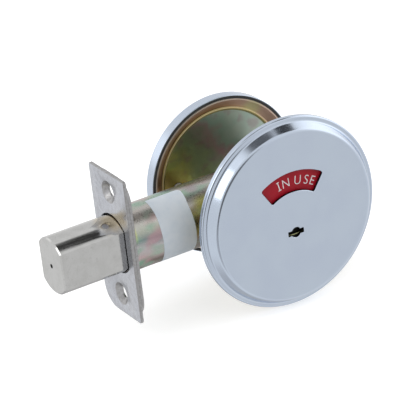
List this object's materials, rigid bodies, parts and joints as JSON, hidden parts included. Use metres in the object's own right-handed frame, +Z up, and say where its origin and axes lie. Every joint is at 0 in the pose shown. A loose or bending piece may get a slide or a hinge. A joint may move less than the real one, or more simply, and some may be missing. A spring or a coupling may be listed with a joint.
{
  "type": "tubular deadbolt with occupancy indicator",
  "caption": "Tubular privacy deadbolt: sliding bolt and faceplate, cam latch in a tube, round roses with an occupancy window and emergency slot outside and a thumbturn inside.",
  "frame": {"origin": "centre of the faceplate's front face, midway between its two screw holes", "axes": "+X into the door along the bolt, -Y towards the side with the indicator, +Y towards the side with the thumbturn, +Z up"},
  "size_m": [0.1238, 0.0741, 0.0742],
  "materials": {
    "satin_chrome": "satin chrome plate, finely brushed",
    "satin_nickel": "nickel plate over steel, ground",
    "nickel_bolt": "nickel plate, belt ground along the bolt",
    "yellow_zinc": "yellow passivated zinc plate",
    "bare_steel": "clear zinc plate, pressed",
    "hardened_steel": "hardened, ground",
    "spring_steel": "blued spring steel",
    "screw_steel": "chromed screw",
    "diecast_chrome": "satin chrome plated zinc casting",
    "black_rubber": "matte black",
    "indicator_enamel": "red and green enamel"
  },
  "bodies": {
    "case": {"faceplate": "satin_nickel", "backing_plate": "satin_nickel", "housing_tube": "yellow_zinc", "side_plate_outer": "bare_steel", "side_plate_inner": "bare_steel", "frame_rivets": "bare_steel", "outside_rose": "satin_chrome", "outside_plate": "yellow_zinc", "outside_posts": "screw_steel", "inside_rose": "satin_chrome", "inside_plate": "yellow_zinc", "inside_gasket": "black_rubber", "mounting_screws": "screw_steel"},
    "bolt": {"bolt_head": "nickel_bolt", "saw_guard_pin": "hardened_steel", "stake_pin": "nickel_bolt", "bolt_tail": "bare_steel"},
    "cam": {"cam": "bare_steel", "crank_pin": "hardened_steel"},
    "indicator": {"indicator_disc": "indicator_enamel", "release_rotor": "bare_steel", "rotor_clip": "spring_steel", "spindle_blade": "bare_steel"},
    "thumbturn": {"thumbturn": "diecast_chrome", "spring_washer": "spring_steel", "turn_clip": "spring_steel"}
  },
  "joints": [
    {"name": "thumbturn_turn", "type": "hinge", "parent": "case", "child": "thumbturn", "pos_m": [0.06032, 0.0305, -0.0067], "axis": [0, 1, 0], "range_deg": [0, 90]},
    {"name": "cam_turn", "type": "hinge", "parent": "case", "child": "cam", "pos_m": [0.06032, 0, -0.0067], "axis": [0, 1, 0], "range_deg": [0, 90]},
    {"name": "indicator_turn", "type": "hinge", "parent": "case", "child": "indicator", "pos_m": [0.06032, -0.0237, -0.0067], "axis": [0, 1, 0], "range_deg": [0, 90]},
    {"name": "bolt_slide", "type": "slide", "parent": "case", "child": "bolt", "axis": [1, 0, 0], "range_m": [0, 0.0254]}
  ],
  "couplings": [
    {"joint": "thumbturn_turn", "follows": "bolt_slide", "rad_per_m": 61.84},
    {"joint": "cam_turn", "follows": "bolt_slide", "rad_per_m": 61.84},
    {"joint": "indicator_turn", "follows": "bolt_slide", "rad_per_m": 61.84}
  ]
}
